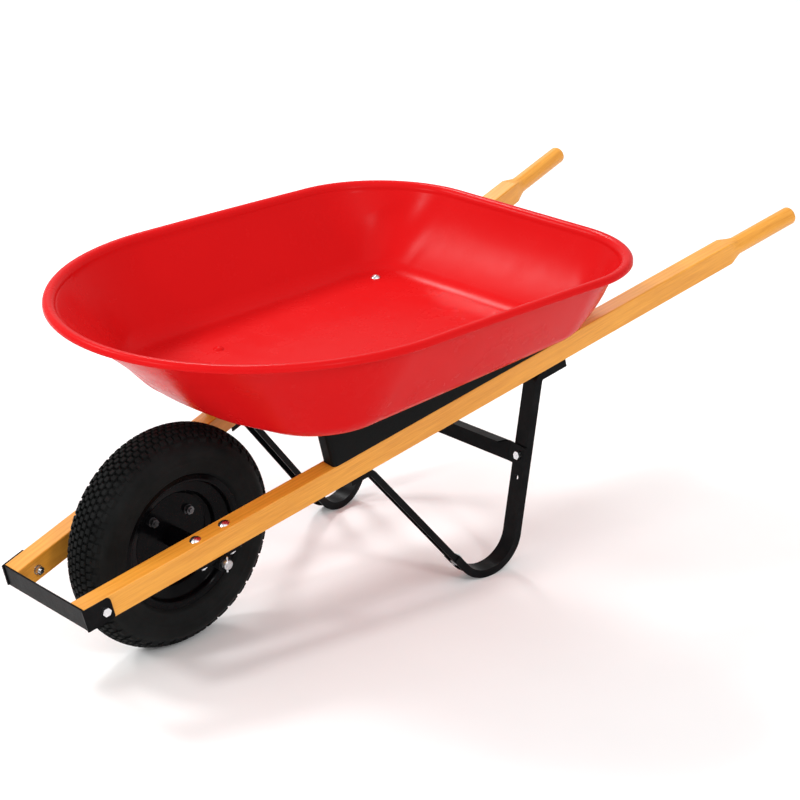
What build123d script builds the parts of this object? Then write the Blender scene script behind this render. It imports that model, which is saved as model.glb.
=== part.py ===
"""A single-wheel garden wheelbarrow: moulded tray, two timber handles, bent channel legs.

Millimetres.  +X runs from the wheel back to the grips, +Y is the user's right, +Z is up.
The origin is on the ground, in the middle of the length and the width.
Every side piece is drawn on the right and mirrored to the left.
"""
import os
from math import asin, atan2, cos, degrees, hypot, pi, radians, sin, sqrt, tan

from build123d import *

# ---- driving dimensions ------------------------------------------------------------------
# Wheel
tyre_diameter = 375.0
tyre_width = 88.0
tyre_wall = 6.0
tread_depth = 9.0
tread_width = 56.0
tyre_shoulder_drop = 10.0
rim_flange_diameter = 227.0
bead_seat_diameter = 204.4
rim_well_diameter = 160.0
rim_width = 69.0            # between the two flanges
rim_sheet = 2.0
rim_heel_bend = 4.0
rim_bend = 6.0
rim_well_half = 16.0        # half the width of the well's floor
rim_well_slope = 8.0        # the disc turns out into the well over this much radius
rim_well_step = 6.0         # and over this much width
bead_seat_start = 23.0      # from the wheel's middle
bead_toe = 11.0             # how far the tyre's bead reaches in from the flange
bead_over_flange = 6.0      # how far the sidewall stands outside of the flange
bead_above_flange = 5.0
flange_clearance = 1.0
cavity_above_bead = 8.0
cavity_inside_edge = 9.0
inner_tube_skin = 2.0
hub_diameter = 34.0
hub_wall = 3.5
hub_length = 152.0
axle_diameter = 15.9
bearing_length = 24.0
bearing_flange = 3.0
axle_spacer_wall = 4.0
rim_bolt_circle = 100.0
rim_bolt_count = 4
valve_angle = 215.0         # degrees round the axle, from +X towards +Z
valve_stem_diameter = 8.0
valve_stem_length = 38.0
valve_lean = 34.0           # degrees, towards the hub
valve_side = 10.0           # from the wheel's middle, where it leaves the rim
valve_root = 1.0            # of it inside the tube
valve_cap_wall = 1.6
valve_cap_start = 30.0
valve_cap_end = 42.0

# Handles
handle_length = 1524.0
handle_width = 35.0
handle_height = 40.0
handle_rise = 13.44         # degrees above the ground
handle_front_spacing = 173.2
handle_grip_spacing = 568.6
handle_edge_round = 2.5
grip_diameter = 33.0
grip_length = 144.0
grip_end_round = 7.0
shoulder_length = 26.0

# Nose guard, a flat steel strap round the front ends
strap_height = 38.0
strap_sheet = 3.0
strap_ear = 46.0
nose_bolt_setback = 33.0
nose_to_tyre = 51.4
ear_corner = 6.0

# Axle brackets
axle_below_handle = 13.55
bracket_length = 80.0
bracket_width = 32.0
bracket_plate = 5.0
bracket_boss_diameter = 26.0
boss_past_plate = 3.0
bracket_bolt_spacing = 53.8
bracket_web_half = 22.0     # the web's half length under the plate
bracket_web_inset = 3.0     # the web is this much narrower than the boss, each side
bracket_corner = 6.0
washer_seat = 0.5           # clearance of the flats cut for washers

# Legs: one bent channel from the rear tab to the foot, and one lighter channel as a brace
leg_width = 32.0
leg_depth = 14.0
leg_sheet = 2.5
leg_bend = 18.0
post_top = 870.4            # along the handle, where the post meets it
post_lean = 8.0             # degrees off vertical
rear_tab_end = 933.0
brace_depth = 11.0
brace_nest = 0.4            # clearance between the brace and the leg that it nests in
brace_top = 529.7
brace_slope = 50.2          # degrees off horizontal
front_tab_end = 487.0
leg_overlap = 30.0
spare_hole_diameter = 8.5
spare_hole_below = 40.0

# Cross brace, an angle bolted across the two posts
cross_upright = 35.0
cross_shelf = 25.0
cross_sheet = 3.0
cross_height = 204.0
cross_tab_overlap = 14.0    # the end tab reaches past the post's inner edge
cross_shelf_setback = 12.0  # the shelf stops short of each end

# Risers, wedges between the handles and the tray
riser_front = 469.5         # along the handle
riser_rear = 952.0
riser_rear_height = 7.3
riser_corner = 8.0

# Tray
tray_tilt = 1.9             # degrees, floor rises to the rear
tray_wall = 4.0
tray_depth = 154.0          # rim above the middle of the floor
tray_width = 724.0
tray_nose = 376.0           # how far the round front reaches
tray_front_overhang = 209.0
tray_rear_overhang = 146.0
tray_rear_corner = 205.0
lip_width = 22.0
lip_drop = 11.0
floor_front_gap = 26.0      # between the tyre and the tray
floor_length = 606.0
floor_front_width = 486.0
floor_rear_width = 456.0
floor_nose_flat = 162.0
floor_nose_sweep = 16.7     # degrees
floor_nose_bend = 200.0
floor_front_corner = 96.0
floor_rear_corner = 46.0
floor_front_radius = 44.0    # between the floor and each wall
floor_side_radius = 50.0
floor_rear_radius = 90.0
rim_arc_ends = (24.0, 34.0, 46.0, 90.0)     # degrees round the nose, one per stretch of floor
wall_bands = (0.0, 0.04, 0.13, 0.28, 0.55, 1.0)     # parts of the tallest radius

# Fasteners
bolt_diameter = 8.0
bolt_clearance = 0.4        # on the radius of a hole
hex_flats = 13.0
hex_head = 5.3
nut_height = 6.5
washer_diameter = 16.0
washer_sheet = 1.6
dome_diameter = 19.0
dome_height = 4.4
thread_past_nut = 3.0
front_tray_bolt = 516.0     # along the handle
rear_tray_bolt = 927.5
seat_radius = 12.0
seat_inset = 1.5            # a seat's pocket is this much smaller than its pad
seat_clearance = 0.3        # riser to the tray's seats
axle_pin_diameter = 3.2
running_clearance = 0.06    # radial, axle to bearing
end_float = 0.4             # axial, bearing to spacer

# ---- places that follow from them --------------------------------------------------------
rise = radians(handle_rise)
plan_length = handle_length * cos(rise)
toe = asin((handle_grip_spacing - handle_front_spacing) / 2 / plan_length)

wheel_radius = tyre_diameter / 2
wheel_x = nose_to_tyre + wheel_radius           # behind the handle fronts
axle_drop = handle_height / 2 + axle_below_handle
front_height = wheel_radius + (axle_drop - wheel_x / cos(toe) * sin(rise)) / cos(rise)

# Unit vectors of the right handle: along it, straight up from its top face, and inward
axis = Vector(cos(rise) * cos(toe), cos(rise) * sin(toe), sin(rise))
inward = Vector(sin(toe), -cos(toe), 0)
upward = inward.cross(axis)

deck_rise = degrees(asin(axis.Z / sqrt(axis.X ** 2 + axis.Z ** 2)))
nose_reach = strap_sheet * cos(radians(deck_rise)) + strap_height / 2 * sin(radians(deck_rise))
grip_reach = handle_length * axis.X + grip_diameter / 2 * sqrt(1 - axis.X ** 2) * 0.6
front_x = (nose_reach - grip_reach) / 2         # puts the origin mid-length
front = Vector(front_x, handle_front_spacing / 2, front_height)
side_plane = Plane(origin=(front.X, front.Y, 0), x_dir=(cos(toe), sin(toe), 0), z_dir=inward)
axle_x = front_x + wheel_x
bracket_y = front.Y + wheel_x * tan(toe)
bracket_along = wheel_x / cos(toe) * cos(rise) + (wheel_radius - front_height) * sin(rise)

bolt_radius = bolt_diameter / 2
hole_radius = bolt_radius + bolt_clearance


def at_handle(along, height=0.0, outward=0.0):
    """A point from its distance along the right handle and above its centre line."""
    return front + axis * along + upward * height - inward * outward


def across_handle(along, height=0.0):
    """A plane square to the handle's top face, +Z up out of the handle."""
    return Plane(origin=at_handle(along, height), x_dir=axis, z_dir=upward)


def under_handle(along_ground):
    """Height of the handle's underside, by level distance behind its front."""
    return front_height + along_ground * tan(rise) - handle_height / 2 / cos(rise)


# The tray's underside is a plane that tilts about Y and rests on the risers' tops.
tilt = radians(tray_tilt)
seat_point = at_handle(riser_rear, handle_height / 2 + riser_rear_height)


def floor_height(x):
    """Height of the tray's underside at x in the part's own frame."""
    return seat_point.Z + (x - seat_point.X) * tan(tilt)


floor_gap_height = floor_height(axle_x) - wheel_radius
floor_reach = (wheel_radius + floor_front_gap) ** 2 - floor_gap_height ** 2
floor_front_x = axle_x + sqrt(max(floor_reach, 0.0))
floor_rear_x = floor_front_x + floor_length
rim_front_x = floor_front_x - tray_front_overhang
rim_rear_x = floor_rear_x + tray_rear_overhang
rim_height = floor_height((floor_front_x + floor_rear_x) / 2) + tray_wall + tray_depth


# ---- small tools -------------------------------------------------------------------------
def placed(shape, plane):
    return plane.location * shape


def mirrored(shape):
    return mirror(shape, about=Plane.XZ)


def save(name, *solids):
    """One STEP for a node; several solids make a group of alike pieces."""
    shape = solids[0] if len(solids) == 1 else Compound(children=list(solids))
    export_step(shape, f"parts/{name}.step")


def save_sides(name, right):
    save(f"right_{name}", right)
    save(f"left_{name}", mirrored(right))


def cylinder_between(start, end, radius):
    span = end - start
    return placed(extrude(Circle(radius), span.length), Plane(origin=start, z_dir=span))


def hole_through(plane, length, radius=hole_radius):
    """A drill that runs both ways along a plane's axis."""
    return placed(Cylinder(radius, 2 * length), plane)


def turned(profile):
    """Turn a profile, drawn as (radius, across), about the wheel's own axle."""
    solid = revolve(profile, Axis.Y)
    return Pos(axle_x, 0, wheel_radius) * solid


def shifted(points, distance):
    """The corners of an open path moved to its left, each run staying parallel."""
    runs = [(Vector(*b) - Vector(*a)).normalized() for a, b in zip(points, points[1:])]
    lefts = [Vector(-r.Y, r.X) for r in runs]
    moved = [Vector(*points[0]) + lefts[0] * distance]
    for corner, before, after in zip(points[1:-1], lefts, lefts[1:]):
        moved.append(Vector(*corner) + (before + after) * (distance / (1 + before.dot(after))))
    moved.append(Vector(*points[-1]) + lefts[-1] * distance)
    return [(p.X, p.Y) for p in moved]


def band(points, radii, near, far):
    """The face between two lines, both parallel to a path with rounded corners."""
    runs = [Vector(*b) - Vector(*a) for a, b in zip(points, points[1:])]
    turns = [1 if a.cross(b).Z > 0 else -1 for a, b in zip(runs, runs[1:])]
    edges = []
    ends = []
    for distance in (near, far):
        corners = shifted(points, distance)
        bends = [r - turn * distance for r, turn in zip(radii, turns)]
        line = FilletPolyline(*corners, radius=bends)
        edges += line.edges()
        ends.append((corners[0], corners[-1]))
    edges += [Line(ends[0][0], ends[1][0]), Line(ends[0][1], ends[1][1])]
    return make_face(edges)


def channel(points, radii, width, depth, sheet):
    """A bent channel drawn on the side plane: web on the path, flanges to its left."""
    outer = extrude(band(points, radii, 0, depth), width / 2, both=True)
    inside = extrude(band(points, radii, sheet, depth + 1), width / 2 - sheet, both=True)
    return placed(outer - inside, side_plane)


# ---- fasteners, each drawn with its seat at z = 0 and its shank down -Z -------------------
def hexagon(height):
    return extrude(RegularPolygon(hex_flats / sqrt(3), 6), height)


def shank(length):
    return Pos(0, 0, -length / 2) * Cylinder(bolt_radius, length)


def hex_bolt(length):
    return hexagon(hex_head) + shank(length)


def dome_bolt(length):
    cap_radius = ((dome_diameter / 2) ** 2 + dome_height ** 2) / (2 * dome_height)
    cap = Pos(0, 0, dome_height - cap_radius) * Sphere(cap_radius)
    cap = cap & Pos(0, 0, dome_height / 2) * Cylinder(dome_diameter / 2, dome_height)
    return cap + shank(length)


def nut():
    return Pos(0, 0, -nut_height) * (hexagon(nut_height) - Cylinder(bolt_radius, 4 * nut_height))


def washer():
    ring = Circle(washer_diameter / 2) - Circle(bolt_radius + bolt_clearance)
    return extrude(ring, -washer_sheet)


def fastening(head_plane, grip, make_bolt):
    """Bolt, washer and nut through a stack that is `grip` thick below the head's plane."""
    bolt = placed(make_bolt(grip + washer_sheet + nut_height + thread_past_nut), head_plane)
    ring = placed(Pos(0, 0, -grip) * washer(), head_plane)
    hex_nut = placed(Pos(0, 0, -grip - washer_sheet) * nut(), head_plane)
    return bolt, ring, hex_nut


# ---- wheel -------------------------------------------------------------------------------
def tyre_cavity():
    """The outline that the inner tube fills, closed across the rim's well."""
    bead = bead_seat_diameter / 2
    half = tyre_width / 2 - tyre_wall
    crown = wheel_radius - tyre_wall - tread_depth / 3
    belly = (bead + crown) / 2 + 6
    edge = rim_width / 2 - cavity_inside_edge
    low = bead + cavity_above_bead
    shoulder = crown - tyre_shoulder_drop + flange_clearance
    top = tread_width / 2 - flange_clearance
    return make_face([
        ThreePointArc((low, edge), (belly, half), (shoulder, top)),
        ThreePointArc((shoulder, top), (crown, 0), (shoulder, -top)),
        ThreePointArc((shoulder, -top), (belly, -half), (low, -edge)),
        ThreePointArc((low, -edge), (bead + inner_tube_skin, 0), (low, edge)),
    ])


def tyre():
    bead = bead_seat_diameter / 2
    flange = rim_flange_diameter / 2
    half = tyre_width / 2
    tread_half = tread_width / 2
    edge = rim_width / 2
    toe_in = edge - bead_toe
    lip_radius, lip_edge = flange + bead_above_flange, edge + bead_over_flange
    heel = rim_heel_bend
    heel_cut = heel * (1 - sqrt(0.5))
    belly = (bead + wheel_radius) / 2 + 8
    shoulder = wheel_radius - tyre_shoulder_drop
    sides = []
    for way in (1, -1):
        sides += [
            ThreePointArc((shoulder, way * tread_half), (belly, way * half), (lip_radius, way * lip_edge)),
            Line((lip_radius, way * lip_edge), (flange + flange_clearance, way * edge)),
            Line((flange + flange_clearance, way * edge), (bead + heel, way * edge)),
            ThreePointArc((bead + heel, way * edge), (bead + heel_cut, way * (edge - heel_cut)),
                          (bead, way * (edge - heel))),
            Line((bead, way * (edge - heel)), (bead, way * toe_in)),
        ]
    crown = ThreePointArc((shoulder, tread_half), (wheel_radius, 0), (shoulder, -tread_half))
    bore = Line((bead, toe_in), (bead, -toe_in))
    solid = turned(make_face([crown, bore] + sides)) - turned(tyre_cavity())
    well = Circle(bead + cavity_above_bead + 4) - Circle(1)
    gap = Rot(90, 0, 0) * extrude(well, edge - cavity_inside_edge - 1, both=True)
    return solid - Pos(axle_x, 0, wheel_radius) * gap


def inner_tube():
    skin = tyre_cavity()
    return turned(skin - offset(skin, -inner_tube_skin)) - valve_stem(rubber=True)


def valve_line(distance):
    """A point along the valve stem, which leans in towards the hub."""
    tip = radians(valve_lean)
    radius = bead_seat_diameter / 2 + inner_tube_skin * 2 - distance * sin(tip)
    angle = radians(valve_angle)
    return Vector(axle_x + radius * cos(angle), -valve_side - distance * cos(tip),
                  wheel_radius + radius * sin(angle))


def valve_stem(rubber=False):
    extra = 0.1 if rubber else 0.0
    ends = valve_line(-valve_root), valve_line(valve_stem_length)
    return cylinder_between(*ends, valve_stem_diameter / 2 + extra)


def valve_cap():
    outside = valve_stem_diameter / 2 + valve_cap_wall
    return cylinder_between(valve_line(valve_cap_start), valve_line(valve_cap_end), outside) - valve_stem()


def rim_half():
    """The right half: disc against the other half, well, bead seat and flange."""
    well = rim_well_diameter / 2
    bead = bead_seat_diameter / 2
    edge = rim_width / 2
    path = [(hub_diameter / 2, 0), (well - rim_well_slope, 0), (well, rim_well_step),
            (well, rim_well_half), (bead, bead_seat_start), (bead, edge), (rim_flange_diameter / 2, edge)]
    bends = [rim_bend, rim_bend, rim_heel_bend, rim_bend, rim_heel_bend]
    half = turned(band(path, bends, 0, rim_sheet))
    for plane in rim_bolt_planes(0):
        half -= hole_through(plane, 10)
    return half


def rim_bolt_planes(across):
    """Planes for the bolts round the hub, +Z out of the right side of the wheel."""
    planes = []
    for index in range(rim_bolt_count):
        angle = 2 * pi * (index + 0.5) / rim_bolt_count
        spot = (axle_x + rim_bolt_circle / 2 * cos(angle), across,
                wheel_radius + rim_bolt_circle / 2 * sin(angle))
        planes.append(Plane(origin=spot, x_dir=(1, 0, 0), z_dir=(0, 1, 0)))
    return planes


def hub():
    ring = Circle(hub_diameter / 2) - Circle(hub_diameter / 2 - hub_wall)
    return Pos(axle_x, 0, wheel_radius) * Rot(90, 0, 0) * extrude(ring, hub_length / 2, both=True)


def hub_bearing():
    """A flanged bush pressed into the hub's right end; the axle runs in it."""
    inner = axle_diameter / 2 + running_clearance
    seat = hub_diameter / 2 - hub_wall
    end = hub_length / 2
    profile = Polyline((inner, end - bearing_length), (seat, end - bearing_length), (seat, end),
                       (hub_diameter / 2, end), (hub_diameter / 2, end + bearing_flange),
                       (inner, end + bearing_flange), close=True)
    return turned(make_face(profile.edges()))


# ---- axle and its brackets ---------------------------------------------------------------
boss_inner_y = bracket_y - bracket_width / 2 - boss_past_plate
boss_outer_y = bracket_y + bracket_width / 2 + boss_past_plate
axle_pin_y = boss_outer_y + 1.5 * axle_pin_diameter
axle_end_y = axle_pin_y + 1.5 * axle_pin_diameter


def axle_line(start, end, radius):
    return cylinder_between(Vector(axle_x, start, wheel_radius), Vector(axle_x, end, wheel_radius), radius)


def axle_pin():
    return Pos(axle_x, axle_pin_y, wheel_radius) * Cylinder(axle_pin_diameter / 2, axle_diameter + 10)


def axle():
    rod = axle_line(-axle_end_y, axle_end_y, axle_diameter / 2)
    rod = chamfer(rod.edges().filter_by(GeomType.CIRCLE), 1.2)
    return rod - axle_pin() - mirrored(axle_pin())


def axle_spacer():
    start = hub_length / 2 + bearing_flange + end_float
    bore = axle_diameter / 2
    return axle_line(start, boss_inner_y, bore + axle_spacer_wall) - axle_line(start, boss_inner_y, bore)


def axle_bracket():
    """Plate under the handle, webs down to a boss that holds the axle."""
    top = across_handle(bracket_along, -handle_height / 2)
    plate = Pos(0, 0, -bracket_plate / 2) * Box(bracket_length, bracket_width, bracket_plate)
    plate = fillet(plate.edges().filter_by(Axis.Z), bracket_corner)
    boss = bracket_boss_diameter / 2
    foot = boss - 1
    web = make_face(Polyline((-bracket_web_half, -1), (bracket_web_half, -1), (foot, -axle_below_handle),
                             (-foot, -axle_below_handle), close=True).edges())
    gusset = Rot(90, 0, 0) * extrude(web, boss - bracket_web_inset, both=True)
    body = placed(plate + gusset, top) + axle_line(boss_inner_y, boss_outer_y, boss)
    body -= placed(Pos(0, 0, 25) * Box(200, 200, 50), top)
    body -= axle_line(boss_inner_y - 20, boss_outer_y + 20, axle_diameter / 2)
    for along in bracket_bolt_places():
        body -= hole_through(across_handle(along), 60)
        flat = across_handle(along, -handle_height / 2 - bracket_plate)
        body -= placed(Pos(0, 0, -20) * Cylinder(washer_diameter / 2 + washer_seat, 40), flat)
    return body


def bracket_bolt_places():
    return [bracket_along + way * bracket_bolt_spacing / 2 for way in (-1, 1)]


# ---- handles -----------------------------------------------------------------------------
def handle():
    square_end = handle_length - grip_length - shoulder_length
    start = Plane(origin=front, x_dir=inward, z_dir=axis)
    bar = Pos(0, 0, square_end / 2 - 20) * Box(handle_width, handle_height, square_end + 40)
    bar = fillet(bar.edges().filter_by(Axis.Z), handle_edge_round)
    section = RectangleRounded(handle_width, handle_height, handle_edge_round)
    shoulder = loft([Pos(0, 0, square_end) * section,
                     Pos(0, 0, square_end + shoulder_length) * Circle(grip_diameter / 2)], ruled=True)
    grip = extrude(Pos(0, 0, handle_length - grip_length) * Circle(grip_diameter / 2), grip_length)
    grip = fillet(grip.edges().filter_by(GeomType.CIRCLE).sort_by(Axis.Z)[-1], grip_end_round)
    body = placed(bar + shoulder + grip, start) - nose_block()
    body -= hole_through(nose_bolt_plane(), 60)
    for along in bracket_bolt_places() + [front_tray_bolt, rear_tray_bolt]:
        body -= hole_through(across_handle(along), 60)
    return body


deck = Plane(origin=(front_x, 0, front_height), x_dir=(cos(radians(deck_rise)), 0, sin(radians(deck_rise))),
             z_dir=(-sin(radians(deck_rise)), 0, cos(radians(deck_rise))))


def nose_block():
    """Everything in front of the plane that the strap lies in."""
    return placed(Pos(-50, 0, 0) * Box(100, 600, 200), deck)


def nose_bolt_plane():
    """On the strap's outer face, +Z pointing outward."""
    spot = at_handle(nose_bolt_setback, 0, handle_width / 2 + strap_sheet)
    return Plane(origin=spot, x_dir=axis, z_dir=inward * -1)


def nose_guard():
    outer_face = handle_width / 2 / cos(toe)
    reach = front.Y + outer_face + strap_sheet
    across = placed(Pos(-strap_sheet / 2, 0, 0) * Box(strap_sheet, 2 * reach - 3, strap_height), deck)
    ear = Plane(origin=at_handle(0, 0, handle_width / 2), x_dir=axis, z_dir=inward * -1)
    plate = Pos((strap_ear - 1) / 2, 0, strap_sheet / 2) * Box(strap_ear + 1, strap_height, strap_sheet)
    tail = plate.edges().filter_by(Axis.Z).sort_by(Axis.X)[-2:]
    plate = fillet(tail, ear_corner)
    corner = Pos(-0.4, 0, strap_sheet * 0.5) * Box(strap_sheet * 1.6, strap_height - 0.6, strap_sheet)
    right = placed(plate + corner, ear) - hole_through(nose_bolt_plane(), 12)
    return across + right + mirrored(right)


# ---- legs --------------------------------------------------------------------------------
slope = radians(brace_slope)
lean = radians(post_lean)


def brace_line(past, outward):
    """A point on the brace's web line, `past` its top and `outward` from the loop."""
    x = brace_top + past * cos(slope) - outward * sin(slope)
    return (x, under_handle(brace_top) - past * sin(slope) - outward * cos(slope))


def foot_arc():
    """Centre and outer radius of the arc that touches the ground, the post and the brace side."""
    low = brace_line(0, leg_depth - leg_sheet)
    brace_ground = low[0] + low[1] / tan(slope)
    post_ground = post_top + leg_depth / cos(lean) - under_handle(post_top) * tan(lean)
    brace_share = (1 - cos(slope)) / sin(slope)
    post_share = (1 - sin(lean)) / cos(lean)
    radius = (post_ground - brace_ground) / (brace_share + post_share)
    return brace_ground + radius * brace_share, radius


foot_centre, foot_radius = foot_arc()
web_radius = foot_radius - leg_depth


def on_slope(along, outward):
    """A point on the brace side: `along` up from the foot arc's end, `outward` of the leg's web."""
    reach = web_radius + outward
    return (foot_centre - reach * sin(slope) - along * cos(slope),
            foot_radius - reach * cos(slope) + along * sin(slope))


def post_web(height):
    """Level distance behind the handle fronts of the post's front face."""
    return post_top - (under_handle(post_top) - height) * tan(lean)


def leg():
    """Rear tab, post, foot and a short stretch that the brace nests in."""
    start = on_slope(0, 0)
    rise_left = start[1] - (post_web(0) - start[0]) * tan(slope)
    corner_height = rise_left / (1 + tan(lean) * tan(slope))
    path = [(rear_tab_end, under_handle(rear_tab_end)), (post_top, under_handle(post_top)),
            (post_web(corner_height), corner_height), on_slope(leg_overlap, 0)]
    body = channel(path, [leg_bend, web_radius], leg_width, leg_depth, leg_sheet)
    body -= hole_through(across_handle(rear_tray_bolt), 60)
    body -= hole_through(post_plane(cross_height), 10)
    body -= hole_through(post_plane(cross_height - spare_hole_below), 10, spare_hole_diameter / 2)
    return body - hole_through(brace_bolt_plane(), 10)


def leg_brace():
    """The lighter channel from the foot up to the front tab."""
    path = [on_slope(3, leg_sheet), (brace_top, under_handle(brace_top)),
            (front_tab_end, under_handle(front_tab_end))]
    width = leg_width - 2 * leg_sheet - 2 * brace_nest
    body = channel(path, [leg_bend], width, brace_depth, leg_sheet)
    body -= hole_through(across_handle(front_tray_bolt), 60)
    return body - hole_through(brace_bolt_plane(), 10)


def side_vector(along, up):
    return Vector(cos(toe) * along, sin(toe) * along, up)


def side_point(along, height):
    return Vector(front.X, front.Y, 0) + side_vector(along, height)


def post_plane(height):
    """On the post's front face, +Z pointing forward."""
    return Plane(origin=side_point(post_web(height), height), x_dir=inward,
                 z_dir=side_vector(-cos(lean), sin(lean)))


def brace_bolt_plane():
    """On the leg's web above the nested brace, +Z pointing into the loop."""
    return Plane(origin=side_point(*on_slope(leg_overlap / 2 + 2, 0)), x_dir=inward,
                 z_dir=side_vector(sin(slope), cos(slope)))


# ---- cross brace -------------------------------------------------------------------------
def cross_brace():
    """An angle whose ends are turned to lie flat on the two posts."""
    post = post_plane(cross_height)
    overlap = cross_tab_overlap
    tab = Pos(overlap / 2, 0, cross_sheet / 2)
    tab = placed(tab * Box(leg_width + overlap, cross_upright, cross_sheet), post)
    tab -= hole_through(post, 10)
    join = post.origin + inward * (leg_width / 2 + overlap / 2)
    face = Plane(origin=(join.X, 0, join.Z), x_dir=(0, 1, 0), z_dir=(-cos(lean), 0, sin(lean)))
    upright = Pos(0, 0, cross_sheet / 2) * Box(2 * join.Y + 8, cross_upright, cross_sheet)
    shelf_y = (cross_sheet - cross_upright) / 2
    shelf_length = 2 * (join.Y - cross_shelf_setback)
    shelf = Pos(0, shelf_y, cross_shelf / 2) * Box(shelf_length, cross_sheet, cross_shelf)
    return placed(upright + shelf, face) + tab + mirrored(tab)


# ---- tray --------------------------------------------------------------------------------
def floor_plane(lift=0.0):
    """The tray's underside, lifted square to itself; its X is level distance over cos(tilt)."""
    origin = Vector(floor_front_x, 0, floor_height(floor_front_x))
    normal = Vector(-sin(tilt), 0, cos(tilt))
    return Plane(origin=origin + normal * lift, x_dir=(cos(tilt), 0, sin(tilt)), z_dir=normal)


def rounded_outline(corners, radii):
    """Edges of a closed outline: run, arc, run, arc, in the order of its corners."""
    count = len(corners)
    points = [Vector(*c) for c in corners]
    cut = []
    for index in range(count):
        back = (points[index - 1] - points[index]).normalized()
        ahead = (points[(index + 1) % count] - points[index]).normalized()
        half = radians(back.get_angle(ahead)) / 2
        middle = points[index] + (back + ahead).normalized() * (radii[index] * (1 / sin(half) - 1))
        reach = radii[index] / tan(half)
        cut.append((points[index] + back * reach, middle, points[index] + ahead * reach))
    edges = []
    for index in range(count):
        edges.append(Line(cut[index - 1][2], cut[index][0]))
        edges.append(ThreePointArc(*cut[index]))
    return edges


def floor_outline(front_grow, side_grow, rear_grow):
    """The flat of the floor, each run moved outward: a blunt nose and two rear corners."""
    front_half = floor_front_width / 2
    flat_half = floor_nose_flat / 2
    sweep = (front_half - flat_half) * tan(radians(floor_nose_sweep))
    length = floor_length / cos(tilt)
    right = [(0, flat_half), (sweep, front_half), (length, floor_rear_width / 2)]
    corners = right + [(x, -y) for x, y in reversed(right)]
    runs = [front_grow, side_grow, rear_grow, side_grow, front_grow, front_grow]
    bends = [floor_nose_bend, floor_front_corner, floor_rear_corner]
    bends += bends[::-1]
    radii = [bend + (runs[i - 1] + runs[i]) / 2 for i, bend in enumerate(bends)]
    return make_face(rounded_outline(outset(corners, runs), radii))


def outset(corners, distances):
    """A closed outline's corners after each run moves outward by its own distance."""
    points = [Vector(*c) for c in corners]
    moved = []
    for index, point in enumerate(points):
        before = (point - points[index - 1]).normalized()
        after = (points[(index + 1) % len(points)] - point).normalized()
        near, far = Vector(-before.Y, before.X), Vector(-after.Y, after.X)
        both = near.dot(far)
        share_near = distances[index - 1] - distances[index] * both
        share_far = distances[index] - distances[index - 1] * both
        moved.append(point + (near * share_near + far * share_far) / (1 - both ** 2))
    return [(p.X, p.Y) for p in moved]


def wall_angle(radius, reach, height):
    """How steep a wall is that leaves a floor's bottom radius for a rim point."""
    return atan2(height - radius, reach) + asin(radius / hypot(reach, height - radius))


def wall_reach(radius, angle, raised):
    """How far out a wall is at a height: round up to its own angle, then straight."""
    arc_height = radius * (1 - cos(angle))
    if raised < arc_height:
        return sqrt(2 * radius * raised - raised ** 2)
    return radius * sin(angle) + (raised - arc_height) / tan(angle)


def rim_outline(inset, height):
    """The rim moved inward: a round nose, straight sides and two rear corners."""
    middle_x = rim_front_x + tray_nose
    reach = tray_nose - inset
    half = tray_width / 2 - inset

    def nose(angle):
        return (middle_x - reach * cos(radians(angle)), half * sin(radians(angle)))

    def arc(start, end):
        return ThreePointArc(nose(start), nose((start + end) / 2), nose(end))

    corner = tray_rear_corner - inset
    rear = rim_rear_x - inset
    bend = corner * (1 - sqrt(0.5))
    edges = [arc(-rim_arc_ends[0], rim_arc_ends[0])]
    edges += [arc(a, b) for a, b in zip(rim_arc_ends, rim_arc_ends[1:])]
    for way in (1, -1):
        side_end, turn_end = (rear - corner, way * half), (rear, way * (half - corner))
        around = [Line((middle_x, way * half), side_end),
                  ThreePointArc(side_end, (rear - bend, way * (half - bend)), turn_end)]
        edges += around if way == 1 else [Line((rear, half - corner), turn_end)] + around[::-1]
    edges += [arc(-b, -a) for a, b in reversed(list(zip(rim_arc_ends, rim_arc_ends[1:])))]
    return Pos(0, 0, rim_height + height) * make_face(edges)


def basin(skin, inset):
    """Solid inside of the tray's wall: flat floor, bottom radius and flared sides.

    `skin` is how far it lies inside of the outer face.
    """
    height = tray_depth + tray_wall - skin
    side_overhang = (tray_width - (floor_front_width + floor_rear_width) / 2) / 2
    walls = []
    for radius, overhang in ((floor_front_radius, tray_front_overhang),
                             (floor_side_radius, side_overhang),
                             (floor_rear_radius, tray_rear_overhang)):
        walls.append((radius - skin, wall_angle(radius - skin, overhang - inset, height)))
    tallest = max(radius * (1 - cos(angle)) for radius, angle in walls)
    sections = []
    for part in wall_bands:
        raised = part * tallest
        outline = floor_outline(*[wall_reach(*wall, raised) for wall in walls])
        sections.append(placed(outline, floor_plane(skin + raised)))
    sections.append(rim_outline(inset, 0))
    return loft(sections, ruled=True)


def tray():
    inside = basin(tray_wall, lip_width)
    inside += extrude(rim_outline(lip_width, 0), 20)
    body = basin(0, lip_width - tray_wall * 1.25)
    lip = extrude(rim_outline(0, -lip_drop), lip_drop)
    lip -= extrude(rim_outline(tray_wall, -lip_drop - 1), lip_drop + 1 - tray_wall)
    body = body + lip - inside
    for along in (front_tray_bolt, rear_tray_bolt):
        seat = tray_seat(along)
        pad = Pos(0, 0, -tray_wall / 2) * Cylinder(seat_radius, tray_wall)
        pocket = Pos(0, 0, 20) * Cylinder(seat_radius - seat_inset, 40)
        pad, pocket = placed(pad, seat), placed(pocket, seat)
        body = body + pad + mirrored(pad) - pocket - mirrored(pocket)
        hole = hole_through(seat, 12)
        body -= hole + mirrored(hole)
    return body


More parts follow.
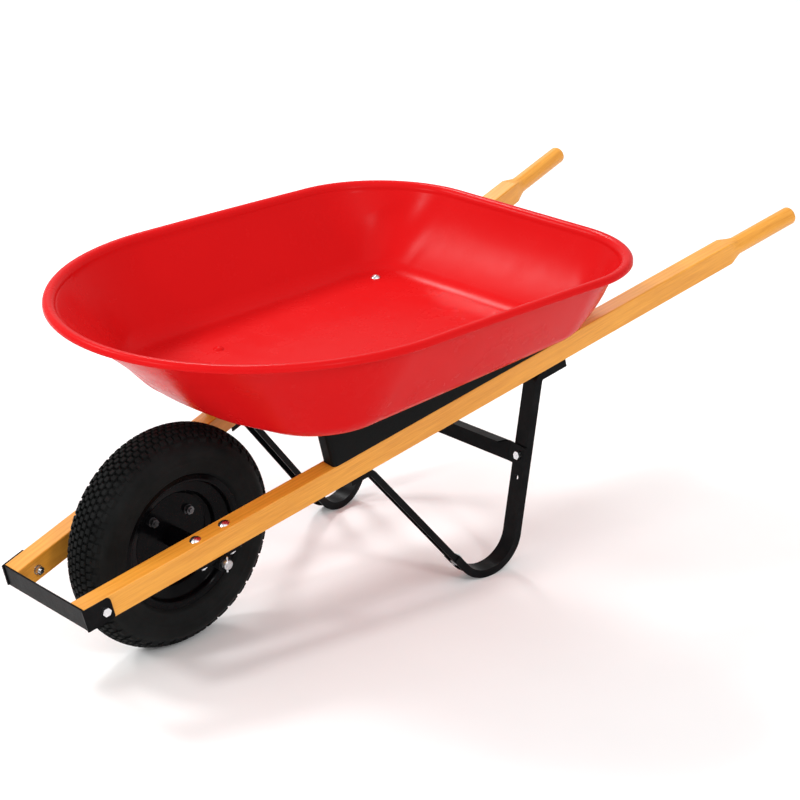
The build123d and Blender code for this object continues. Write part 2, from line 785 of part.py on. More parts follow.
def tray_seat(along):
    """Where a tray bolt's head sits, square to the handle, +Z up out of the tray."""
    spot = at_handle(along)
    inner_floor = floor_height(spot.X) + tray_wall / cos(tilt)
    height = (inner_floor - spot.Z) / (upward.Z - upward.X * tan(tilt))
    return across_handle(along, height)


def seat_height(along):
    return (tray_seat(along).origin - at_handle(along)).length


def riser():
    """A wedge that fills the space between one handle and the tray's floor."""
    top = 400.0
    length = riser_rear - riser_front
    block = Pos(length / 2, 0, top / 2) * Box(length, handle_width, top)
    block = fillet(block.edges().filter_by(Axis.Z).sort_by(Axis.X)[:2], riser_corner)
    body = placed(block, across_handle(riser_front, handle_height / 2))
    body -= placed(Pos(0, 0, 500) * Box(4000, 2000, 1000), floor_plane())
    for along in (front_tray_bolt, rear_tray_bolt):
        seat = tray_seat(along)
        body -= hole_through(seat, 400)
        body -= placed(Pos(0, 0, 50 - tray_wall) * Cylinder(seat_radius + seat_clearance, 100), seat)
    return body


# ---- every piece, by body ----------------------------------------------------------------
def pairs(rights):
    """Right-hand pieces and their mirror images."""
    return [piece for right in rights for piece in (right, mirrored(right))]


def save_fasteners(name, stacks, parts_named):
    """Bolts, washers and nuts of one kind, each kind a node of alike solids."""
    for index, word in enumerate(parts_named):
        if word:
            save(f"{name}_{word}", *pairs([stack[index] for stack in stacks]))


def build_frame():
    save_sides("handle", handle())
    save_sides("riser", riser())
    save_sides("leg", leg())
    save_sides("leg_brace", leg_brace())
    save_sides("axle_bracket", axle_bracket())
    save("cross_brace", cross_brace())
    save("nose_guard", nose_guard())
    save("tray", tray())
    save("axle", axle())
    save("axle_spacers", *pairs([axle_spacer()]))
    save("axle_pins", *pairs([axle_pin()]))


def build_fasteners():
    kinds = ("bolts", "washers", "nuts")
    under = handle_height / 2
    nose = fastening(nose_bolt_plane(), strap_sheet + handle_width, hex_bolt)
    save_fasteners("nose_guard", [nose], kinds)
    brackets = [fastening(across_handle(along, under), handle_height + bracket_plate, dome_bolt)
                for along in bracket_bolt_places()]
    save_fasteners("axle_bracket", brackets, kinds)
    for name, along in (("front_tray", front_tray_bolt), ("rear_tray", rear_tray_bolt)):
        stack = seat_height(along) + under + leg_sheet
        save_fasteners(name, [fastening(tray_seat(along), stack, dome_bolt)], kinds)
    post = post_plane(cross_height).offset(cross_sheet)
    save_fasteners("cross_brace", [fastening(post, cross_sheet + leg_sheet, hex_bolt)], kinds)
    nested = fastening(brace_bolt_plane(), 2 * leg_sheet, dome_bolt)
    save_fasteners("leg_brace", [nested], kinds)


def build_wheel():
    save("tyre", tyre())
    save("inner_tube", inner_tube())
    right = rim_half()
    left = mirrored(right)
    save("right_rim_half", right)
    save("left_rim_half", left - valve_stem())
    stacks = [fastening(plane, 2 * rim_sheet, hex_bolt) for plane in rim_bolt_planes(rim_sheet)]
    for index, word in enumerate(("bolts", "washers", "nuts")):
        save(f"rim_{word}", *[stack[index] for stack in stacks])
    save("hub_tube", hub())
    save_sides("hub_bearing", hub_bearing())
    save("valve_stem", valve_stem())
    save("valve_cap", valve_cap())


def main():
    os.makedirs("parts", exist_ok=True)
    build_frame()
    build_fasteners()
    build_wheel()


main()
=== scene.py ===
"""Looks of the wheelbarrow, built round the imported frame. Metres, in the frame of the CAD part.

+X runs from the wheel back to the grips, +Y is the user's right, +Z is up.
"""
from math import asin, atan2, cos, hypot, pi, radians, sin, tan

import bmesh
import bpy
from mathutils import Matrix, Vector


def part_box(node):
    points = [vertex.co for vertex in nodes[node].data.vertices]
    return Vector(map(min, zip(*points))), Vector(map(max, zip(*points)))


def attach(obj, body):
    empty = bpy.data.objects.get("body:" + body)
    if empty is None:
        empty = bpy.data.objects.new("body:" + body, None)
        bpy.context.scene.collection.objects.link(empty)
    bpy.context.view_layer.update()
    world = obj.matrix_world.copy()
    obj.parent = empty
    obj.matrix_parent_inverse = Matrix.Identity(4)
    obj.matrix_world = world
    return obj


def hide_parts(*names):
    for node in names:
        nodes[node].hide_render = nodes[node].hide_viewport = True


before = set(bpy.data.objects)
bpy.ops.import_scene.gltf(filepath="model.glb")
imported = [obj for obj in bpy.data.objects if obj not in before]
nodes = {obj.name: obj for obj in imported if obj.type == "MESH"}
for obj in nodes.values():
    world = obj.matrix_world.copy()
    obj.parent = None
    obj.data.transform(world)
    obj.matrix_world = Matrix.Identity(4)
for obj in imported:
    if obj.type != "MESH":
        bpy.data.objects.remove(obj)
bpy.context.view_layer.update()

# ---- sizes -------------------------------------------------------------------------------
# Camera
camera_azimuth = -44.05         # degrees, 0 looks along +Y
camera_elevation = 22.55
camera_distance = 3.532
camera_lens = 91.2              # on a 36 mm sensor
camera_aim = Vector((0.0176, 0.0003, 0.2734))

# Tray
tray_low, tray_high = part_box("tray")
tray_wall = 0.004
tray_tilt = radians(1.9)
front_overhang = 0.209
rear_overhang = 0.146
tray_nose = 0.376
rim_corner = 0.205
nose_ends = (24.0, 34.0, 46.0, 90.0)    # degrees round the nose, one for each stretch
lip_width = 0.022
lip_drop = 0.011
lip_shoulder = 0.0135           # radius where the wall turns out into the lip
lip_edge = 0.008                # radius of the lip's outer edge
rim_front_dip = 0.006
rim_rear_dip = 0.003
floor_front_half = 0.243
floor_rear_half = 0.228
floor_flat_half = 0.081
floor_sweep = radians(16.7)
floor_bends = (0.200, 0.096, 0.046)
front_radius = 0.044
side_radius = 0.050
rear_radius = 0.090
rear_ramp = (0.090, 0.057)      # out and up, to where the rear wall turns from ramp to steep
rear_foot = 0.020               # from the floor's edge to where the ramp's line starts
rear_bend = 0.330               # radius above the ramp

# Points along the tray's outline and up its wall
nose_run, nose_arc, sweep_run, front_arc, side_run, rear_arc, rear_run = 18, 12, 12, 34, 34, 34, 26
arc_steps, wall_steps = 12, 16
low_steps, ramp_steps, high_steps = 7, 5, 7

# Tyre
tyre_low, tyre_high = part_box("tyre")
tread_depth = 0.0055
tread_rows = 7
tread_pitches = 88
tread_half = 0.031
sidewall_rib = 0.0012
rib_places = (0.16, 0.42)       # shares of the sidewall's height
tread_arch = 0.0105             # how far the tread drops from its middle to its edge
lug_depth = 0.006
tyre_clearance = 0.0008         # the sidewall stays this far inside of the CAD tyre
flange_radius = 0.1135
bead_radius = 0.1022
rim_half_width = 0.0345


# ---- mesh tools --------------------------------------------------------------------------
def mesh_piece(name, points, faces, material, body):
    """A smooth-shaded mesh object that rides on a body and takes one material."""
    mesh = bpy.data.meshes.new(name)
    mesh.from_pydata([tuple(p) for p in points], [], faces)
    mesh.update()
    build = bmesh.new()
    build.from_mesh(mesh)
    bmesh.ops.recalc_face_normals(build, faces=build.faces)
    build.to_mesh(mesh)
    build.free()
    mesh.shade_smooth()
    piece = bpy.data.objects.new(name, mesh)
    bpy.context.scene.collection.objects.link(piece)
    mesh.materials.append(material)
    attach(piece, body)
    return piece


def rings_to_faces(ring_count, around, closed_rings=False):
    """Quads between rings of points that each go once round."""
    faces = []
    last = ring_count if closed_rings else ring_count - 1
    for ring in range(last):
        low = ring * around
        high = (ring + 1) % ring_count * around
        for step in range(around):
            ahead = (step + 1) % around
            faces.append((low + step, low + ahead, high + ahead, high + step))
    return faces


# ---- node tools --------------------------------------------------------------------------
class Paint:
    """A procedural material, built node by node round one Principled shader."""

    def __init__(self, name, **sockets):
        self.material = bpy.data.materials.new(name)
        self.material.use_nodes = True
        self.tree = self.material.node_tree
        self.shader = self.tree.nodes["Principled BSDF"]
        self.place = self.tree.nodes.new("ShaderNodeTexCoord").outputs["Object"]
        for socket, value in sockets.items():
            self.shader.inputs[socket.replace("_", " ")].default_value = value

    def link(self, start, end):
        self.tree.links.new(start, end)

    def stretched(self, scale, turn=(0.0, 0.0, 0.0)):
        """The surface's place, turned and scaled."""
        aim = self.tree.nodes.new("ShaderNodeMapping")
        aim.vector_type = "TEXTURE"
        aim.inputs["Rotation"].default_value = turn
        aim.inputs["Scale"].default_value = scale
        self.link(self.place, aim.inputs["Vector"])
        return aim.outputs["Vector"]

    def noise(self, scale, detail=3.0, rough=0.5, distortion=0.0, place=None):
        node = self.tree.nodes.new("ShaderNodeTexNoise")
        node.inputs["Scale"].default_value = scale
        node.inputs["Detail"].default_value = detail
        node.inputs["Roughness"].default_value = rough
        node.inputs["Distortion"].default_value = distortion
        self.link(place or self.place, node.inputs["Vector"])
        return node.outputs["Fac"]

    def ramp(self, value, *stops):
        """Colours along a value from 0 to 1."""
        node = self.tree.nodes.new("ShaderNodeValToRGB")
        elements = node.color_ramp.elements
        while len(elements) < len(stops):
            elements.new(0.5)
        for element, (position, colour) in zip(elements, stops):
            element.position = position
            element.color = (*colour, 1.0)
        self.link(value, node.inputs["Fac"])
        return node.outputs["Color"]

    def spread(self, value, low, high, start=0.3, end=0.7):
        """A value between start and end turned into one between low and high."""
        node = self.tree.nodes.new("ShaderNodeMapRange")
        node.inputs["From Min"].default_value = start
        node.inputs["From Max"].default_value = end
        node.inputs["To Min"].default_value = low
        node.inputs["To Max"].default_value = high
        self.link(value, node.inputs["Value"])
        return node.outputs["Result"]

    def mixed(self, factor, first, second, blend="MIX"):
        node = self.tree.nodes.new("ShaderNodeMix")
        node.data_type = "RGBA"
        node.blend_type = blend
        self.link(factor, node.inputs["Factor"])
        self.link(first, node.inputs["A"])
        self.link(second, node.inputs["B"])
        return node.outputs["Result"]

    def colour(self, value):
        self.link(value, self.shader.inputs["Base Color"])

    def roughness(self, value):
        self.link(value, self.shader.inputs["Roughness"])

    def bump(self, *heights):
        """Bumps in metres, the coarse one first."""
        normal = None
        for value, height in heights:
            node = self.tree.nodes.new("ShaderNodeBump")
            node.inputs["Strength"].default_value = 1.0
            node.inputs["Distance"].default_value = height
            self.link(value, node.inputs["Height"])
            if normal:
                self.link(normal, node.inputs["Normal"])
            normal = node.outputs["Normal"]
        self.link(normal, self.shader.inputs["Normal"])


# ---- materials ---------------------------------------------------------------------------
def red_poly():
    """Moulded poly: an even red, a soft sheen, a faint grain and a few scuffs."""
    paint = Paint("red_poly", Specular_IOR_Level=0.04)
    cloud = paint.noise(3.0, 3.0)
    grain = paint.noise(900.0, 2.0)
    scuff = paint.noise(14.0, 4.0, 0.6)
    paint.colour(paint.ramp(cloud, (0.30, (0.585, 0.006, 0.007)), (0.70, (0.625, 0.008, 0.009))))
    paint.roughness(paint.spread(scuff, 0.22, 0.30))
    paint.bump((paint.noise(8.0, 2.0), 0.0012), (grain, 0.00004))
    return paint.material


def lacquered_wood(name, direction):
    """Clear-coated hardwood with its grain along one direction."""
    paint = Paint(name, Specular_IOR_Level=0.5)
    turn = Vector((1, 0, 0)).rotation_difference(direction).to_euler()
    along = paint.stretched((1.0, 1.0, 1.0), turn)
    squeezed = paint.stretched((14.0, 1.0, 1.0), turn)
    rings = paint.tree.nodes.new("ShaderNodeTexWave")
    rings.wave_type = "BANDS"
    rings.bands_direction = "Y"
    rings.inputs["Scale"].default_value = 34.0
    rings.inputs["Distortion"].default_value = 5.0
    rings.inputs["Detail"].default_value = 3.0
    rings.inputs["Detail Scale"].default_value = 1.6
    paint.link(squeezed, rings.inputs["Vector"])
    fibre = paint.noise(620.0, 3.0, 0.6, place=paint.stretched((40.0, 1.0, 1.0), turn))
    blotch = paint.noise(5.0, 2.0, place=along)
    ring_colour = paint.ramp(rings.outputs["Fac"], (0.0, (0.68, 0.27, 0.022)), (1.0, (0.80, 0.35, 0.038)))
    fibre_colour = paint.ramp(fibre, (0.35, (0.60, 0.22, 0.016)), (0.62, (0.83, 0.365, 0.042)))
    half = paint.spread(blotch, 0.32, 0.62)
    paint.colour(paint.mixed(half, ring_colour, fibre_colour))
    paint.roughness(paint.spread(fibre, 0.30, 0.46))
    paint.bump((rings.outputs["Fac"], 0.00010), (fibre, 0.00012))
    return paint.material


def powder_coat():
    """Black powder coat with its fine orange peel and a little dust."""
    paint = Paint("powder_coat", Specular_IOR_Level=0.05)
    dust = paint.noise(26.0, 5.0, 0.65)
    paint.colour(paint.ramp(dust, (0.40, (0.003, 0.003, 0.0035)), (0.80, (0.010, 0.010, 0.0105))))
    paint.roughness(paint.spread(dust, 0.30, 0.44))
    paint.bump((paint.noise(60.0, 2.0), 0.00025), (paint.noise(700.0, 2.0), 0.00009))
    return paint.material


def gloss_black():
    """Stove enamel on the pressed rims."""
    paint = Paint("gloss_black", Specular_IOR_Level=0.06)
    haze = paint.noise(30.0, 4.0, 0.6)
    paint.colour(paint.ramp(haze, (0.35, (0.0015, 0.0015, 0.002)), (0.75, (0.004, 0.004, 0.0045))))
    paint.roughness(paint.spread(haze, 0.10, 0.22))
    paint.bump((paint.noise(45.0, 2.0), 0.00010))
    return paint.material


def black_plastic(name="black_plastic"):
    """Moulded black plastic with a fine spark-eroded grain."""
    paint = Paint(name, Specular_IOR_Level=0.06)
    grain = paint.noise(520.0, 3.0, 0.6)
    paint.colour(paint.ramp(grain, (0.30, (0.003, 0.0035, 0.0035)), (0.75, (0.008, 0.0085, 0.0085))))
    paint.roughness(paint.spread(grain, 0.38, 0.52))
    paint.bump((grain, 0.00008))
    return paint.material


def rubber(name="tyre_rubber", low=0.56, high=0.74):
    """Black rubber, greyer where dust sits, with a fine mould texture."""
    paint = Paint(name, Specular_IOR_Level=0.08)
    dust = paint.noise(18.0, 6.0, 0.7)
    skin = paint.noise(480.0, 3.0, 0.55)
    paint.colour(paint.ramp(dust, (0.35, (0.004, 0.0045, 0.0045)), (0.75, (0.012, 0.0125, 0.0125))))
    paint.roughness(paint.spread(dust, low, high))
    paint.bump((paint.noise(40.0, 2.0), 0.0004), (skin, 0.00012))
    return paint.material


def plated(name, dull, bright, low, high):
    """Plated or bare metal: cloudy plating and fine drawing marks."""
    paint = Paint(name, Metallic=1.0)
    cloud = paint.noise(120.0, 4.0, 0.6)
    marks = paint.noise(900.0, 2.0, place=paint.stretched((8.0, 1.0, 1.0)))
    paint.colour(paint.ramp(cloud, (0.30, dull), (0.70, bright)))
    paint.roughness(paint.spread(marks, low, high))
    paint.bump((marks, 0.00003))
    return paint.material


def paint_nodes():
    """Every CAD node gets its own detailed finish."""
    handle_front = {side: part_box(f"{side}_handle") for side in ("left", "right")}
    finishes = {
        "coat": powder_coat(),
        "gloss": gloss_black(),
        "plastic": black_plastic(),
        "nylon": black_plastic("nylon"),
        "tube": rubber("tube_rubber"),
        "zinc": plated("zinc_plate", (0.60, 0.61, 0.63), (0.80, 0.81, 0.83), 0.18, 0.34),
        "dull": plated("dull_zinc", (0.10, 0.10, 0.105), (0.19, 0.19, 0.195), 0.32, 0.48),
        "steel": plated("drawn_steel", (0.42, 0.42, 0.43), (0.60, 0.60, 0.61), 0.24, 0.40),
        "brass": plated("valve_brass", (0.55, 0.38, 0.12), (0.70, 0.50, 0.18), 0.22, 0.36),
        "red": red_poly(),
    }
    for side, (low, high) in handle_front.items():
        way = 1 if side == "right" else -1
        across = (high.y - low.y) * way
        finishes[f"{side}_wood"] = lacquered_wood(
            f"{side}_wood", Vector((high.x - low.x, across, high.z - low.z)).normalized())
    special = {
        "axle": "steel", "axle_pins": "steel", "inner_tube": "tube", "valve_stem": "brass",
        "valve_cap": "plastic", "hub_tube": "gloss", "left_rim_half": "gloss", "right_rim_half": "gloss",
        "left_hub_bearing": "nylon", "right_hub_bearing": "nylon", "left_riser": "plastic",
        "right_riser": "plastic", "left_handle": "left_wood", "right_handle": "right_wood",
        "tray": "red", "tyre": "tube", "front_tray_bolts": "red",
        "rim_bolts": "dull", "rim_washers": "dull", "rim_nuts": "dull",
    }
    for name, node in nodes.items():
        finish = special.get(name)
        if finish is None:
            finish = "zinc" if name.endswith(("_bolts", "_nuts", "_washers")) else "coat"
        node.data.materials.clear()
        node.data.materials.append(finishes[finish])
    return finishes


# ---- tray --------------------------------------------------------------------------------
rim_front_x, rim_rear_x, rim_z = tray_low.x, tray_high.x, tray_high.z
tray_half = (tray_high.y - tray_low.y) / 2
floor_front_x = rim_front_x + front_overhang
floor_rear_x = rim_rear_x - rear_overhang


def floor_z(x):
    """Height of the tray's underside."""
    return tray_low.z + (x - floor_front_x) * tan(tray_tilt)


def line_points(start, end, count):
    return [Vector(start).lerp(Vector(end), i / count) for i in range(count)]


def rounded(corners, bends, counts):
    """Points round a closed outline with arcs at its corners: run, arc, run, arc."""
    points = []
    cuts = []
    for index, corner in enumerate(corners):
        corner = Vector(corner)
        back = (Vector(corners[index - 1]) - corner).normalized()
        ahead = (Vector(corners[(index + 1) % len(corners)]) - corner).normalized()
        half = back.angle(ahead) / 2
        reach = bends[index] / tan(half)
        centre = corner + (back + ahead).normalized() * (bends[index] / sin(half))
        cuts.append((corner + back * reach, centre, corner + ahead * reach))
    for index, (start, centre, end) in enumerate(cuts):
        run_count, arc_count = counts[index]
        points += line_points(cuts[index - 1][2], start, run_count)
        first, last = start - centre, end - centre
        turn = first.angle_signed(last)
        for step in range(arc_count):
            points.append(centre + Matrix.Rotation(-turn * step / arc_count, 2) @ first)
    return points


def floor_outline():
    """The flat of the floor seen from above, from the left end of its blunt nose round by the right."""
    sweep = (floor_front_half - floor_flat_half) * tan(floor_sweep)
    right = [(floor_front_x, floor_flat_half), (floor_front_x + sweep, floor_front_half),
             (floor_rear_x, floor_rear_half)]
    corners = right + [(x, -y) for x, y in reversed(right)]
    counts = [(nose_run, nose_arc), (sweep_run, front_arc), (side_run, rear_arc),
              (rear_run, rear_arc), (side_run, front_arc), (sweep_run, nose_arc)]
    return rounded(corners, list(floor_bends) + list(floor_bends[::-1]), counts)


def rim_outline(inset):
    """The rim seen from above, point for point with the floor's outline."""
    middle = rim_front_x + tray_nose
    reach = tray_nose - inset
    half = tray_half - inset
    corner = rim_corner - inset
    rear = rim_rear_x - inset

    def nose(start, end, count):
        angles = [radians(start + (end - start) * i / count) for i in range(count)]
        return [Vector((middle - reach * cos(a), half * sin(a))) for a in angles]

    def turned(way, start, count):
        angles = [start + pi / 2 * i / count for i in range(count)]
        hub = Vector((rear - corner, way * (half - corner)))
        return [hub + Vector((sin(a), cos(a))) * corner for a in angles]

    a, b, c, d = nose_ends
    points = nose(-a, a, nose_run) + nose(a, b, nose_arc) + nose(b, c, sweep_run) + nose(c, d, front_arc)
    points += line_points((middle, half), (rear - corner, half), side_run)
    points += turned(1, 0.0, rear_arc)
    points += line_points((rear, half - corner), (rear, corner - half), rear_run)
    points += turned(-1, pi / 2, rear_arc)
    points += line_points((rear - corner, -half), (middle, -half), side_run)
    points += nose(-d, -c, front_arc) + nose(-c, -b, sweep_run) + nose(-b, -a, nose_arc)
    return points


def bottom_radii():
    """The radius between floor and wall, point for point, easing from run to run."""
    def eased(start, end, count):
        return [start + (end - start) * (1 - cos(pi * i / count)) / 2 for i in range(count)]

    front = [front_radius] * (nose_run + nose_arc + sweep_run)
    side = [side_radius] * side_run
    radii = front + eased(front_radius, side_radius, front_arc) + side
    radii += eased(side_radius, rear_radius, rear_arc) + [rear_radius] * rear_run
    radii += eased(rear_radius, side_radius, rear_arc) + side
    radii += eased(side_radius, front_radius, front_arc)
    return radii + [front_radius] * (sweep_run + nose_arc)


def rim_height(x):
    """The rim's crown: highest amidships, a little lower at its two ends."""
    middle = (rim_front_x + rim_rear_x) / 2
    share = (x - middle) / (rim_rear_x - middle)
    dip = rim_rear_dip if share > 0 else rim_front_dip
    return rim_z - dip * share ** 2


def wall_profile(radius, reach, height):
    """(distance out, height) from the floor's edge up a bottom radius and a straight wall."""
    angle = atan2(height - radius, reach) + asin(radius / hypot(reach, height - radius))
    curve = [(radius * sin(angle * i / arc_steps), radius * (1 - cos(angle * i / arc_steps)))
             for i in range(arc_steps + 1)]
    out, up = curve[-1]
    curve += [(out + (reach - out) * i / wall_steps, up + (height - up) * i / wall_steps)
              for i in range(1, wall_steps + 1)]
    return [Vector(p) for p in curve]


def ramp_profile(skin, reach, height):
    """The same for the rear wall: a bend, a shallow ramp, a second bend and a steep wall."""
    foot = Vector((rear_foot, 0.0))
    knee = Vector(rear_ramp) + Vector((-skin, skin)) * 0.5
    brim = Vector((reach, height))
    first, second = (knee - foot).normalized(), (brim - knee).normalized()
    low_turn = atan2(first.y, first.x)
    high_turn = atan2(second.y, second.x) - low_turn
    low_radius = rear_foot / tan(low_turn / 2)
    room = 0.9 * min((knee - foot).length - rear_foot, (brim - knee).length)
    high_cut = min(rear_bend * tan(high_turn / 2), room)
    high_radius = high_cut / tan(high_turn / 2)
    turns = [low_turn * i / low_steps for i in range(low_steps + 1)]
    points = [Vector((low_radius * sin(a), low_radius * (1 - cos(a)))) for a in turns]
    start, end = points[-1], knee - first * high_cut
    points += [start.lerp(end, i / ramp_steps) for i in range(1, ramp_steps + 1)]
    hub = end + Vector((-first.y, first.x)) * high_radius
    for i in range(1, high_steps + 1):
        a = low_turn + high_turn * i / high_steps
        points.append(hub + Vector((sin(a), -cos(a))) * high_radius)
    rest = arc_steps + wall_steps - low_steps - ramp_steps - high_steps
    top = points[-1]
    points += [top.lerp(brim, i / rest) for i in range(1, rest + 1)]
    return points


def wall_rings(floor, rim, radii, skin, top):
    """Rings up one face of the wall, `skin` inside of the outer face, ending `top` below the rim."""
    columns = []
    for start, end, radius in zip(floor, rim, radii):
        base = floor_z(start.x) + skin
        height = rim_height(end.x) - top - base
        reach = (end - start).length
        plain = wall_profile(radius - skin, reach, height)
        ramp = ramp_profile(skin, reach, height)
        rearness = max(0.0, (radius - side_radius) / (rear_radius - side_radius))
        rearness *= rearness * (3 - 2 * rearness)       # eased at both ends
        column = []
        for one, other in zip(plain, ramp):
            out, up = one.lerp(other, rearness)
            spot = start.lerp(end, out / reach)
            lift = (spot.x - start.x) * tan(tray_tilt) * (1 - up / height)
            column.append((spot.x, spot.y, base + up + lift))
        columns.append(column)
    return [list(ring) for ring in zip(*columns)]


def lip_rings():
    """Rings over the rolled lip: round shoulder, crowned top, outer edge, back up inside it."""
    turn = [pi / 2 * step / 8 for step in range(9)]
    shoulder_end = lip_width - lip_shoulder
    path = [(lip_width - lip_shoulder * (1 - cos(a)), lip_shoulder * (1 - sin(a))) for a in turn[1:]]
    path.append(((shoulder_end + lip_edge) / 2, 0.0))
    path += [(lip_edge * (1 - sin(a)), lip_edge * (1 - cos(a))) for a in turn]
    path += [(0.0, lip_drop - 0.001), (0.0008, lip_drop), (tray_wall - 0.0008, lip_drop),
             (tray_wall, lip_drop - 0.001), (tray_wall, lip_edge)]
    path += [(tray_wall + 0.002, tray_wall + 0.0015), (tray_wall + 0.006, tray_wall)]
    rings = []
    for inset, down in path:
        rings.append([(p.x, p.y, rim_height(p.x) - down) for p in rim_outline(inset)])
    return rings


def floor_rings(floor, skin, shares):
    """Rings that fill the flat of the floor towards its middle line."""
    middle = Vector(((floor_front_x + floor_rear_x) / 2, 0.0))
    rings = []
    for share in shares:
        ring = [middle.lerp(p, share) for p in floor]
        rings.append([(p.x, p.y, floor_z(p.x) + skin) for p in ring])
    return rings


def make_tray(material):
    floor = floor_outline()
    radii = bottom_radii()
    shares = (0.04, 0.35, 0.65, 0.88, 0.97)
    rings = floor_rings(floor, tray_wall, shares)
    rings += wall_rings(floor, rim_outline(lip_width), radii, tray_wall, lip_shoulder)
    rings += lip_rings()
    under = wall_rings(floor, rim_outline(lip_width - tray_wall * 1.25), radii, 0.0, tray_wall)
    rings += under[::-1]
    rings += floor_rings(floor, 0.0, shares)[::-1]
    around = len(floor)
    points = [p for ring in rings for p in ring]
    faces = rings_to_faces(len(rings), around)
    faces.append(tuple(range(around)))
    faces.append(tuple(range(len(points) - around, len(points))))
    piece = mesh_piece("tray_shell", points, faces, material, "frame")
    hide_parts("tray")
    return piece


# ---- tyre --------------------------------------------------------------------------------
axle_x = (tyre_low.x + tyre_high.x) / 2
axle_z = (tyre_low.z + tyre_high.z) / 2
tyre_radius = (tyre_high.z - tyre_low.z) / 2
tyre_half = (tyre_high.y - tyre_low.y) / 2 - tyre_clearance


def on_wheel(radius, angle, across):
    return (axle_x + radius * cos(angle), across, axle_z + radius * sin(angle))


def crown_radius(across):
    """The tread's outer surface, arched from shoulder to shoulder."""
    return tyre_radius - tread_arch * (abs(across) / tread_half) ** 2.2


def tyre_profile():
    """(radius, across) once round the tyre's section, from the left bead over to the right."""
    side = [(bead_radius + 0.0005, rim_half_width - 0.010),
            (bead_radius + 0.001, rim_half_width - 0.001),
            (flange_radius - 0.001, rim_half_width - 0.0006),
            (flange_radius + 0.0015, rim_half_width + 0.002)]
    low = flange_radius + 0.004
    top = crown_radius(tread_half) - tread_depth
    steps = 22
    for step in range(steps + 1):
        share = step / steps
        radius = low + (top - low) * share
        bulge = sin(pi * (0.16 + 0.62 * share)) ** 0.8
        across = rim_half_width + 0.004 + (tyre_half - rim_half_width - 0.004) * bulge
        if share > 0.62:
            ease = (share - 0.62) / 0.38
            across += (tread_half + 0.001 - across) * ease ** 2.4
        for rib in rib_places:
            across += sidewall_rib * max(0.0, 1 - abs(share - rib) / 0.03)
        side.append((radius, across))
    crown = [(crown_radius(tread_half * y) - tread_depth, tread_half * y) for y in (0.8, 0.55, 0.28)]
    right = side + crown
    middle = [(crown_radius(0.0) - tread_depth, 0.0)]
    return right + middle + [(r, -y) for r, y in reversed(right)]


def tyre_carcass():
    profile = tyre_profile()
    around = 144
    points = []
    for radius, across in profile:
        points += [on_wheel(radius, 2 * pi * i / around, across) for i in range(around)]
    return points, rings_to_faces(len(profile), around, closed_rings=True)


def tread_block(across, angle, wide, long):
    """One rubber block: sunk foot, tapered sides and a chamfered top."""
    levels = [(-0.0015, 1.0), (tread_depth - 0.0009, 0.86), (tread_depth, 0.70)]
    points = []
    for height, share in levels:
        for y_way, a_way in ((-1, -1), (1, -1), (1, 1), (-1, 1)):
            y = across + y_way * wide / 2 * share
            a = angle + a_way * long / 2 * share / tyre_radius
            points.append(on_wheel(crown_radius(y) - tread_depth + height, a, y))
    faces = [(8, 9, 10, 11)]
    for low in (0, 4):
        faces += [(low + i, low + (i + 1) % 4, low + 4 + (i + 1) % 4, low + 4 + i) for i in range(4)]
    return points, faces


def shoulder_lug(way, angle, long):
    """A lug that wraps from the tread's edge down onto the sidewall."""
    spots = [(crown_radius(tread_half), tread_half - 0.004),
             (tyre_radius - 0.0150, tread_half + 0.0045),
             (tyre_radius - 0.0260, tread_half + 0.0085)]
    feet = [(r - lug_depth, y - lug_depth) for r, y in spots]
    points = []
    for r, y in spots + feet:
        for a_way in (-1, 1):
            points.append(on_wheel(r, angle + a_way * long / 2 / tyre_radius, way * y))
    faces = [(0, 1, 3, 2), (2, 3, 5, 4), (0, 2, 8, 6), (2, 4, 10, 8), (1, 7, 9, 3), (3, 9, 11, 5),
             (4, 5, 11, 10), (0, 6, 7, 1)]
    return points, faces


def make_tyre(material):
    points, faces = tyre_carcass()
    pitch = 2 * pi / tread_pitches
    row_gap = 2 * tread_half / tread_rows

    def add(piece):
        first = len(points)
        points.extend(piece[0])
        faces.extend(tuple(first + i for i in face) for face in piece[1])

    carcass_faces = len(faces)
    for row in range(tread_rows):
        across = (row - (tread_rows - 1) / 2) * row_gap
        for index in range(tread_pitches):
            angle = pitch * (index + 0.5 * (row % 2))
            add(tread_block(across, angle, row_gap * 0.86, pitch * tyre_radius * 0.80))
    for way in (-1, 1):
        for index in range(tread_pitches // 2):
            add(shoulder_lug(way, pitch * (2 * index + 0.25), pitch * tyre_radius * 1.05))
    piece = mesh_piece("tyre_tread", points, faces, material, "wheel")
    for polygon in list(piece.data.polygons)[carcass_faces:]:
        polygon.use_smooth = False
    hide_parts("tyre")
    return piece


# ---- camera, stage and light -------------------------------------------------------------
def aimed(thing, target):
    thing.rotation_mode = "QUATERNION"
    thing.rotation_quaternion = (target - thing.location).to_track_quat("-Z", "Y")


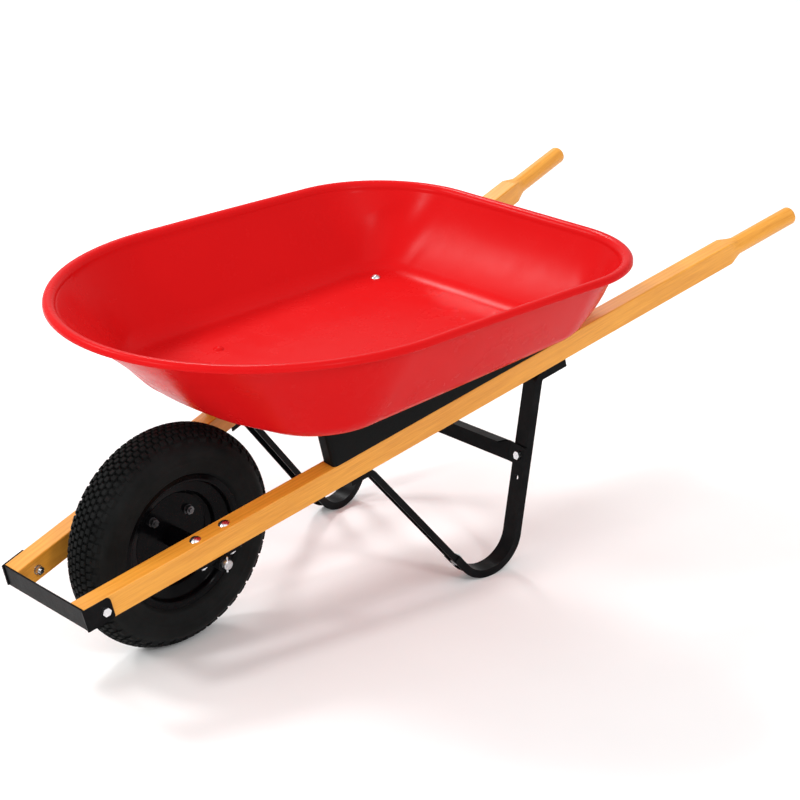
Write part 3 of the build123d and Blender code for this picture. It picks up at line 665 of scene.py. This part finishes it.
def make_camera():
    camera = bpy.data.objects.new("camera", bpy.data.cameras.new("camera"))
    bpy.context.scene.collection.objects.link(camera)
    a, e = radians(camera_azimuth), radians(camera_elevation)
    back = Vector((sin(a) * cos(e), -cos(a) * cos(e), sin(e)))
    camera.location = camera_aim + back * camera_distance
    aimed(camera, camera_aim)
    camera.data.lens = camera_lens
    camera.data.sensor_width = 36.0
    bpy.context.scene.camera = camera


def make_floor():
    """A pale studio floor."""
    reach = 30.0
    mesh = bpy.data.meshes.new("studio_floor")
    mesh.from_pydata([(-reach, -reach, 0), (reach, -reach, 0), (reach, reach, 0), (-reach, reach, 0)],
                     [], [(0, 1, 2, 3)])
    floor = bpy.data.objects.new("studio_floor", mesh)
    bpy.context.scene.collection.objects.link(floor)
    paint = Paint("studio_floor", Roughness=0.75)
    speckle = paint.noise(3.0, 3.0)
    paint.colour(paint.ramp(speckle, (0.3, (0.92, 0.92, 0.92)), (0.7, (0.95, 0.95, 0.95))))
    mesh.materials.append(paint.material)


def hang(light, place, target):
    """Puts a light in the scene, pointed at a target."""
    lamp = bpy.data.objects.new(light.name, light)
    bpy.context.scene.collection.objects.link(lamp)
    lamp.location = place
    aimed(lamp, Vector(target))


def soft_light(name, place, target, size, watts):
    light = bpy.data.lights.new(name, "AREA")
    light.shape = "SQUARE"
    light.size = size
    light.energy = watts
    hang(light, place, target)


def make_light():
    world = bpy.data.worlds.new("studio")
    bpy.context.scene.world = world
    world.use_nodes = True
    sky = world.node_tree.nodes["Background"]
    sky.inputs["Color"].default_value = (1.0, 1.0, 1.0, 1.0)
    sky.inputs["Strength"].default_value = 0.68
    soft_light("left_box", (-4.6, 0.9, 3.2), (0, 0, 0.4), 0.6, 80.0)
    soft_light("back_box", (-2.0, 3.4, 4.0), (0, 0, 0.4), 1.0, 85.0)
    soft_light("rim_box", (1.9, 3.5, 4.1), (0, 0, 0.4), 1.0, 90.0)
    soft_light("near_box", (-0.9, -4.4, 3.2), (0, 0, 0.3), 0.7, 50.0)
    sun = bpy.data.lights.new("sun", "SUN")
    sun.energy = 0.6
    sun.angle = radians(50)
    hang(sun, (-1.0, -2.4, 4.0), (0, 0, 0))
    bpy.context.scene.view_settings.view_transform = "Standard"


# ---- all of it ---------------------------------------------------------------------------
make_camera()
make_floor()
make_light()
finishes = paint_nodes()
make_tray(finishes["red"])
make_tyre(rubber())
